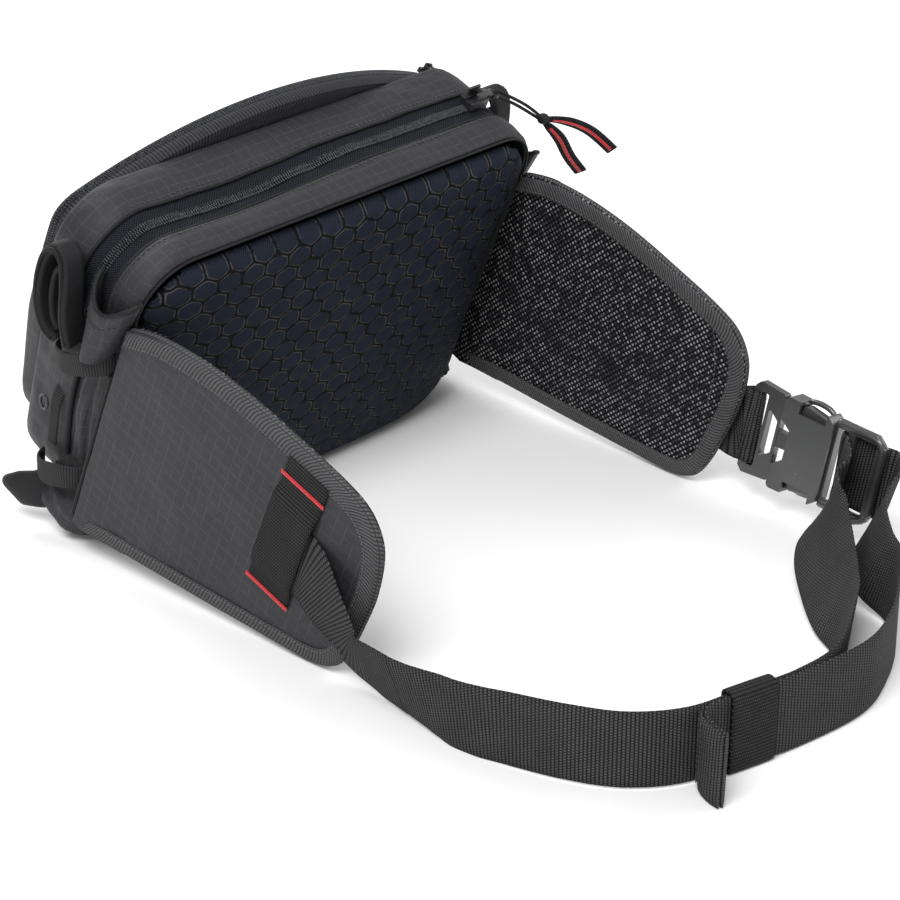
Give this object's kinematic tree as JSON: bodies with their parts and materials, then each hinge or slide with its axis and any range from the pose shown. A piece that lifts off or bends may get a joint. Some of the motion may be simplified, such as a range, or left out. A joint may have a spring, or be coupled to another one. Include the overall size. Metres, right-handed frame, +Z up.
{
  "type": "waist pack",
  "caption": "Padded waist pack with a zipped main compartment and front pocket, two hip wings, a webbing belt, a keeper and a side-release buckle.",
  "frame": {"origin": "middle of the flat under the lumbar pad, where the bag rests on the ground", "axes": "+Z up, -Y towards the front of the belt ring, +X towards the buckle's side"},
  "size_m": [0.3469, 0.4481, 0.2045],
  "materials": {
    "ripstop": "coated charcoal ripstop, satin",
    "zip_tape": "woven navy-black tape",
    "zip_coil": "satin black nylon coil",
    "slider_metal": "black painted metal",
    "pull_cord": "black braided cord",
    "ribbed_tape": "ribbed black grosgrain",
    "red_stitching": "bright red thread",
    "honeycomb_mesh": "navy-black honeycomb mesh",
    "foam": "grey open-cell foam",
    "air_mesh": "black air mesh",
    "elastic": "black woven elastic",
    "webbing": "black woven webbing",
    "buckle_plastic": "satin black acetal"
  },
  "bodies": {
    "bag": {"main_shell": "ripstop", "main_trim_rear": "ripstop", "main_trim_front": "ripstop", "main_tape_rear": "zip_tape", "main_tape_front": "zip_tape", "main_coil": "zip_coil", "front_pocket": "ripstop", "front_tape_rear": "ribbed_tape", "front_tape_front": "ribbed_tape", "front_coil": "zip_coil", "back_mesh": "honeycomb_mesh", "back_foam": "foam", "base_panel": "ripstop", "end_fold_left": "ripstop", "end_fold_right": "ripstop", "end_loop_left": "ribbed_tape", "end_loop_right": "ribbed_tape", "upper_band_left": "elastic", "upper_band_right": "elastic", "lower_band_left": "elastic", "lower_band_right": "elastic", "gusset_left": "ripstop", "gusset_right": "ripstop", "gusset_piping_left": "ribbed_tape", "gusset_piping_right": "ribbed_tape", "corner_fold_left": "ribbed_tape", "corner_fold_right": "ribbed_tape", "side_strap_left": "elastic", "side_strap_right": "elastic", "side_ring_left": "slider_metal", "side_ring_right": "slider_metal"},
    "main_slider": {"main_slider": "slider_metal"},
    "main_pull": {"main_puller": "slider_metal", "main_pull_cord": "pull_cord", "main_pull_tails": "ribbed_tape", "main_pull_stitching": "red_stitching"},
    "front_slider": {"front_slider": "slider_metal"},
    "front_pull": {"front_puller": "slider_metal"},
    "left_wing": {"wing_shell_left": "ripstop", "wing_foam_left": "foam", "wing_mesh_left": "air_mesh", "wing_binding_left": "ribbed_tape", "wing_strip_left": "webbing", "bartacks_left": "red_stitching", "belt_stub": "webbing"},
    "right_wing": {"wing_shell_right": "ripstop", "wing_foam_right": "foam", "wing_mesh_right": "air_mesh", "wing_binding_right": "ribbed_tape", "wing_strip_right": "webbing", "bartacks_right": "red_stitching", "buckle_web_stub": "webbing"},
    "belt_lead": {"belt_lead": "webbing"},
    "belt": {"belt_webbing": "webbing", "buckle_female": "buckle_plastic"},
    "keeper": {"belt_keeper": "elastic"},
    "buckle_male": {"buckle_web_loop": "webbing", "buckle_male": "buckle_plastic"},
    "latch_upper": {"latch_arm_upper": "buckle_plastic"},
    "latch_lower": {"latch_arm_lower": "buckle_plastic"}
  },
  "joints": [
    {"name": "belt_sway", "type": "hinge", "parent": "bag", "child": "left_wing", "pos_m": [-0.136, 0, 0.016], "axis": [0, -0.3883, 0.9215], "range_deg": [-7, 7], "stiffness_Nm_per_rad": 0.3},
    {"name": "right_wing_sway", "type": "hinge", "parent": "bag", "child": "right_wing", "pos_m": [0.136, 0, 0.016], "axis": [0, -0.3883, 0.9215], "range_deg": [-7, 7]},
    {"name": "belt_at_left_wing", "type": "hinge", "parent": "left_wing", "child": "belt_lead", "pos_m": [-0.136, -0.203, 0.0362], "axis": [0, -0.3883, 0.9215], "range_deg": [-7, 7]},
    {"name": "buckle_at_right_wing", "type": "hinge", "parent": "right_wing", "child": "buckle_male", "pos_m": [0.136, -0.203, 0.0362], "axis": [0, -0.3883, 0.9215], "range_deg": [-7, 7]},
    {"name": "buckle_release", "type": "slide", "parent": "belt_lead", "child": "belt", "axis": [0, -0.9962, -0.0872], "range_m": [0, 0.026], "deforming": ["latch_arm_upper", "latch_arm_lower"]},
    {"name": "keeper_slide", "type": "slide", "parent": "belt", "child": "keeper", "axis": [0.9659, -0.2587, 0], "range_m": [0, 0.02]},
    {"name": "latch_press", "type": "hinge", "parent": "buckle_male", "child": "latch_upper", "pos_m": [0.13861, -0.22621, 0.05452], "axis": [0.9848, 0.0151, -0.173], "range_deg": [0, 8], "stiffness_Nm_per_rad": 0.2},
    {"name": "latch_press_lower", "type": "hinge", "parent": "buckle_male", "child": "latch_lower", "pos_m": [0.1334, -0.22364, 0.02508], "axis": [0.9848, 0.0151, -0.173], "range_deg": [-8, 0]},
    {"name": "main_zip_slide", "type": "slide", "parent": "bag", "child": "main_slider", "axis": [1, 0, 0], "range_m": [-0.2, 0]},
    {"name": "main_pull_swing", "type": "hinge", "parent": "main_slider", "child": "main_pull", "pos_m": [0.1135, -0.04066, 0.18459], "axis": [0, 0.9215, 0.3883], "range_deg": [-140, 0]},
    {"name": "front_zip_travel", "type": "hinge", "parent": "bag", "child": "front_slider", "pos_m": [0, 0.11306, -0.072], "axis": [0, 0.9215, 0.3883], "range_deg": [-40, 0]},
    {"name": "front_pull_swing", "type": "hinge", "parent": "front_slider", "child": "front_pull", "pos_m": [0.12599, 0.00568, 0.18282], "axis": [0, 0.9215, 0.3883], "range_deg": [-150, 0]}
  ],
  "couplings": [
    {"joint": "right_wing_sway", "follows": "belt_sway", "ratio": 1},
    {"joint": "belt_at_left_wing", "follows": "belt_sway", "ratio": -1},
    {"joint": "buckle_at_right_wing", "follows": "belt_sway", "ratio": -1},
    {"joint": "latch_press_lower", "follows": "latch_press", "ratio": -1},
    {"joint": "main_pull_swing", "follows": "main_zip_slide", "rad_per_m": 12.217}
  ]
}
